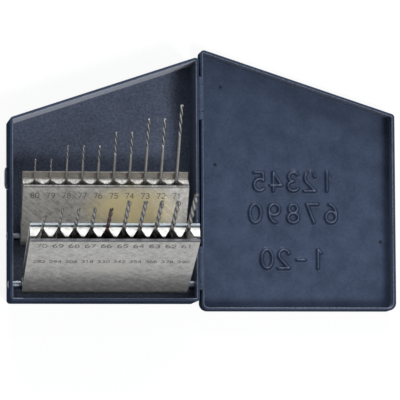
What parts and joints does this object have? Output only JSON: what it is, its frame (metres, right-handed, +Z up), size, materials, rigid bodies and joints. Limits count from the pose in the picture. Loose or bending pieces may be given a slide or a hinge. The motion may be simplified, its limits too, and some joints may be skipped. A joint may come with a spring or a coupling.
{
  "type": "drill index case",
  "caption": "Pocket drill index: a folded sheet steel case that opens like a book, with two tilting racks that hold small twist drills by size.",
  "frame": {"origin": "middle of the open case's footprint, on the table it lies on", "axes": "+X from the base towards the open lid, along the straight bottom edge; +Y from that edge to the sloping top; +Z up out of the base"},
  "size_m": [0.0798, 0.053, 0.044],
  "materials": {
    "case_paint": "satin slate blue enamel",
    "rack_plate": "rolled, zinc plated",
    "drill_steel": "ground high speed steel",
    "hinge_wire": "drawn wire",
    "pivot_steel": "bright turned"
  },
  "bodies": {
    "base": {"base_shell": "case_paint", "lower_hinge_pin": "hinge_wire", "upper_hinge_pin": "hinge_wire", "rear_rack_pivot_left": "pivot_steel", "rear_rack_pivot_right": "pivot_steel", "front_rack_pivot_left": "pivot_steel", "front_rack_pivot_right": "pivot_steel"},
    "lid": {"lid_shell": "case_paint"},
    "rear_rack": {"rear_rack": "rack_plate"},
    "front_rack": {"front_rack": "rack_plate"},
    "drill_80": {"drill_80": "drill_steel"},
    "drill_79": {"drill_79": "drill_steel"},
    "drill_78": {"drill_78": "drill_steel"},
    "drill_77": {"drill_77": "drill_steel"},
    "drill_76": {"drill_76": "drill_steel"},
    "drill_75": {"drill_75": "drill_steel"},
    "drill_74": {"drill_74": "drill_steel"},
    "drill_73": {"drill_73": "drill_steel"},
    "drill_72": {"drill_72": "drill_steel"},
    "drill_71": {"drill_71": "drill_steel"},
    "drill_70": {"drill_70": "drill_steel"},
    "drill_69": {"drill_69": "drill_steel"},
    "drill_68": {"drill_68": "drill_steel"},
    "drill_67": {"drill_67": "drill_steel"},
    "drill_66": {"drill_66": "drill_steel"},
    "drill_65": {"drill_65": "drill_steel"},
    "drill_64": {"drill_64": "drill_steel"},
    "drill_63": {"drill_63": "drill_steel"},
    "drill_62": {"drill_62": "drill_steel"},
    "drill_61": {"drill_61": "drill_steel"}
  },
  "joints": [
    {"name": "lid_hinge", "type": "hinge", "parent": "base", "child": "lid", "pos_m": [-0.00015, 0, 0.00613], "axis": [0, 1, 0], "range_deg": [-180, 0]},
    {"name": "rear_rack_tilt", "type": "hinge", "parent": "base", "child": "rear_rack", "pos_m": [-0.0201, -0.01137, 0.00275], "axis": [1, 0, 0], "range_deg": [-36, 0]},
    {"name": "front_rack_tilt", "type": "hinge", "parent": "base", "child": "front_rack", "pos_m": [-0.0201, -0.02137, 0.0066], "axis": [1, 0, 0], "range_deg": [-68.5, 0]},
    {"name": "drill_80_lift", "type": "slide", "parent": "rear_rack", "child": "drill_80", "axis": [0, 0.809, 0.5878], "range_m": [0, 0.014]},
    {"name": "drill_79_lift", "type": "slide", "parent": "rear_rack", "child": "drill_79", "axis": [0, 0.809, 0.5878], "range_m": [0, 0.014]},
    {"name": "drill_78_lift", "type": "slide", "parent": "rear_rack", "child": "drill_78", "axis": [0, 0.809, 0.5878], "range_m": [0, 0.014]},
    {"name": "drill_77_lift", "type": "slide", "parent": "rear_rack", "child": "drill_77", "axis": [0, 0.809, 0.5878], "range_m": [0, 0.014]},
    {"name": "drill_76_lift", "type": "slide", "parent": "rear_rack", "child": "drill_76", "axis": [0, 0.809, 0.5878], "range_m": [0, 0.014]},
    {"name": "drill_75_lift", "type": "slide", "parent": "rear_rack", "child": "drill_75", "axis": [0, 0.809, 0.5878], "range_m": [0, 0.014]},
    {"name": "drill_74_lift", "type": "slide", "parent": "rear_rack", "child": "drill_74", "axis": [0, 0.809, 0.5878], "range_m": [0, 0.014]},
    {"name": "drill_73_lift", "type": "slide", "parent": "rear_rack", "child": "drill_73", "axis": [0, 0.809, 0.5878], "range_m": [0, 0.014]},
    {"name": "drill_72_lift", "type": "slide", "parent": "rear_rack", "child": "drill_72", "axis": [0, 0.809, 0.5878], "range_m": [0, 0.014]},
    {"name": "drill_71_lift", "type": "slide", "parent": "rear_rack", "child": "drill_71", "axis": [0, 0.809, 0.5878], "range_m": [0, 0.014]},
    {"name": "drill_70_lift", "type": "slide", "parent": "front_rack", "child": "drill_70", "axis": [0, 0.3665, 0.9304], "range_m": [0, 0.0251]},
    {"name": "drill_69_lift", "type": "slide", "parent": "front_rack", "child": "drill_69", "axis": [0, 0.3665, 0.9304], "range_m": [0, 0.0251]},
    {"name": "drill_68_lift", "type": "slide", "parent": "front_rack", "child": "drill_68", "axis": [0, 0.3665, 0.9304], "range_m": [0, 0.0251]},
    {"name": "drill_67_lift", "type": "slide", "parent": "front_rack", "child": "drill_67", "axis": [0, 0.3665, 0.9304], "range_m": [0, 0.0251]},
    {"name": "drill_66_lift", "type": "slide", "parent": "front_rack", "child": "drill_66", "axis": [0, 0.3665, 0.9304], "range_m": [0, 0.0251]},
    {"name": "drill_65_lift", "type": "slide", "parent": "front_rack", "child": "drill_65", "axis": [0, 0.3665, 0.9304], "range_m": [0, 0.0251]},
    {"name": "drill_64_lift", "type": "slide", "parent": "front_rack", "child": "drill_64", "axis": [0, 0.3665, 0.9304], "range_m": [0, 0.0251]},
    {"name": "drill_63_lift", "type": "slide", "parent": "front_rack", "child": "drill_63", "axis": [0, 0.3665, 0.9304], "range_m": [0, 0.0251]},
    {"name": "drill_62_lift", "type": "slide", "parent": "front_rack", "child": "drill_62", "axis": [0, 0.3665, 0.9304], "range_m": [0, 0.0251]},
    {"name": "drill_61_lift", "type": "slide", "parent": "front_rack", "child": "drill_61", "axis": [0, 0.3665, 0.9304], "range_m": [0, 0.0251]}
  ],
  "couplings": [
    {"joint": "rear_rack_tilt", "follows": "lid_hinge", "ratio": 0.2},
    {"joint": "front_rack_tilt", "follows": "lid_hinge", "ratio": 0.38056}
  ]
}
